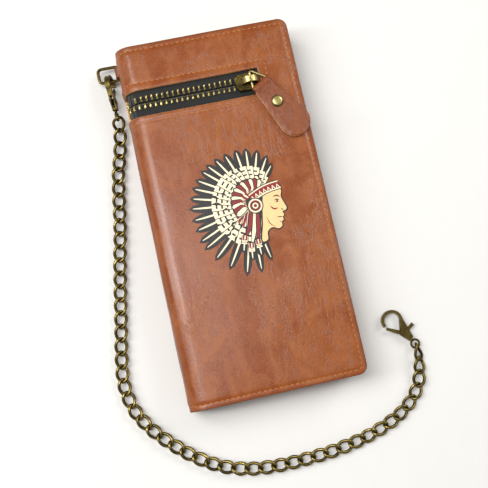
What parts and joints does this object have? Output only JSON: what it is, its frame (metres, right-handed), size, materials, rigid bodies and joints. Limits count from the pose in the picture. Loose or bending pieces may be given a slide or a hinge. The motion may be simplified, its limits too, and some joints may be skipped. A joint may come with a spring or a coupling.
{
  "type": "chain wallet",
  "caption": "Long bifold leather wallet with a zip pocket on the front, a curb chain and trigger clasps at both ends of the chain.",
  "frame": {"origin": "centre of the back cover's outer face, which lies on the table", "axes": "+X from the spine to the opening edge, +Y along the wallet to the end with the zip, +Z out of the front cover"},
  "size_m": [0.1647, 0.2363, 0.0294],
  "materials": {
    "tan_leather": "tan oiled cowhide with a satin sheen, mottled",
    "tab_leather": "red-brown creased cowhide with raw cut edges",
    "inner_leather": "matt brown split leather",
    "lining_cloth": "dark brown woven lining",
    "zip_tape": "black herringbone woven tape",
    "antique_brass": "antique brass, worn bright on the high spots",
    "spring_steel": "plain spring steel"
  },
  "bodies": {
    "back": {"back_cover": "tan_leather", "back_lining": "lining_cloth", "back_edge_gusset": "inner_leather", "back_end_gusset_upper": "inner_leather", "back_end_gusset_lower": "inner_leather", "back_divider": "inner_leather", "back_card_slot_1": "inner_leather", "back_card_slot_2": "inner_leather", "back_card_slot_3": "inner_leather", "back_card_slot_4": "inner_leather", "d_ring": "antique_brass", "d_ring_tab": "tab_leather", "chain": "antique_brass", "near_clasp_frame": "antique_brass", "near_clasp_pin": "antique_brass", "near_clasp_spring": "spring_steel", "near_clasp_eye": "antique_brass", "far_clasp_eye": "antique_brass"},
    "spine": {"spine_cover": "tan_leather", "spine_lining": "lining_cloth", "spine_zip_tape_upper": "zip_tape", "spine_zip_tape_lower": "zip_tape", "spine_zip_teeth_upper": "antique_brass", "spine_zip_teeth_lower": "antique_brass", "zip_bottom_stop": "antique_brass"},
    "front": {"front_cover": "tan_leather", "front_lining": "lining_cloth", "front_edge_gusset": "inner_leather", "front_end_gusset_upper": "inner_leather", "front_end_gusset_lower": "inner_leather", "front_divider": "inner_leather", "front_card_slot_1": "inner_leather", "front_card_slot_2": "inner_leather", "front_card_slot_3": "inner_leather", "zip_bag": "lining_cloth", "zip_tape_upper": "zip_tape", "zip_tape_lower": "zip_tape", "zip_teeth_upper": "antique_brass", "zip_teeth_lower": "antique_brass", "zip_top_stop_upper": "antique_brass", "zip_top_stop_lower": "antique_brass"},
    "slider": {"zip_slider": "antique_brass"},
    "loop": {"pull_loop": "antique_brass"},
    "tab": {"pull_tab": "tab_leather", "pull_rivet_cap": "antique_brass"},
    "near_gate": {"near_clasp_gate": "antique_brass"},
    "far_clasp": {"far_clasp_frame": "antique_brass", "far_clasp_pin": "antique_brass", "far_clasp_spring": "spring_steel"},
    "far_gate": {"far_clasp_gate": "antique_brass"}
  },
  "joints": [
    {"name": "spine_fold", "type": "hinge", "parent": "back", "child": "spine", "pos_m": [-0.04436, 0, 0.00264], "axis": [0, -1, 0], "range_deg": [0, 20]},
    {"name": "front_fold", "type": "hinge", "parent": "spine", "child": "front", "pos_m": [-0.04436, 0, 0.02136], "axis": [0, -1, 0], "range_deg": [0, 160]},
    {"name": "zip_slide", "type": "slide", "parent": "front", "child": "slider", "axis": [-1, 0, 0], "range_m": [0, 0.05]},
    {"name": "pull_lift", "type": "hinge", "parent": "slider", "child": "loop", "pos_m": [0.0208, 0.065, 0.027], "axis": [0.0328, -0.9995, 0], "range_deg": [0, 30]},
    {"name": "tab_swing", "type": "hinge", "parent": "loop", "child": "tab", "pos_m": [0.02585, 0.06185, 0.027], "axis": [-0.8622, -0.5066, 0], "range_deg": [0, 60]},
    {"name": "near_gate_open", "type": "hinge", "parent": "back", "child": "near_gate", "pos_m": [-0.05273, 0.0741, 0.00668], "axis": [0.9659, 0, 0.2588], "range_deg": [0, 15], "stiffness_Nm_per_rad": 0.0004, "springref_deg": -5.73},
    {"name": "far_swivel", "type": "hinge", "parent": "back", "child": "far_clasp", "pos_m": [0.0799, -0.0889, 0.0022], "axis": [-0.5592, 0.829, 0], "continuous": true},
    {"name": "far_gate_open", "type": "hinge", "parent": "far_clasp", "child": "far_gate", "pos_m": [0.0759, -0.08207, 0.0022], "axis": [0, 0, -1], "range_deg": [0, 15], "stiffness_Nm_per_rad": 0.0004, "springref_deg": -5.73}
  ],
  "couplings": [
    {"joint": "spine_fold", "follows": "front_fold", "ratio": 0.125}
  ]
}
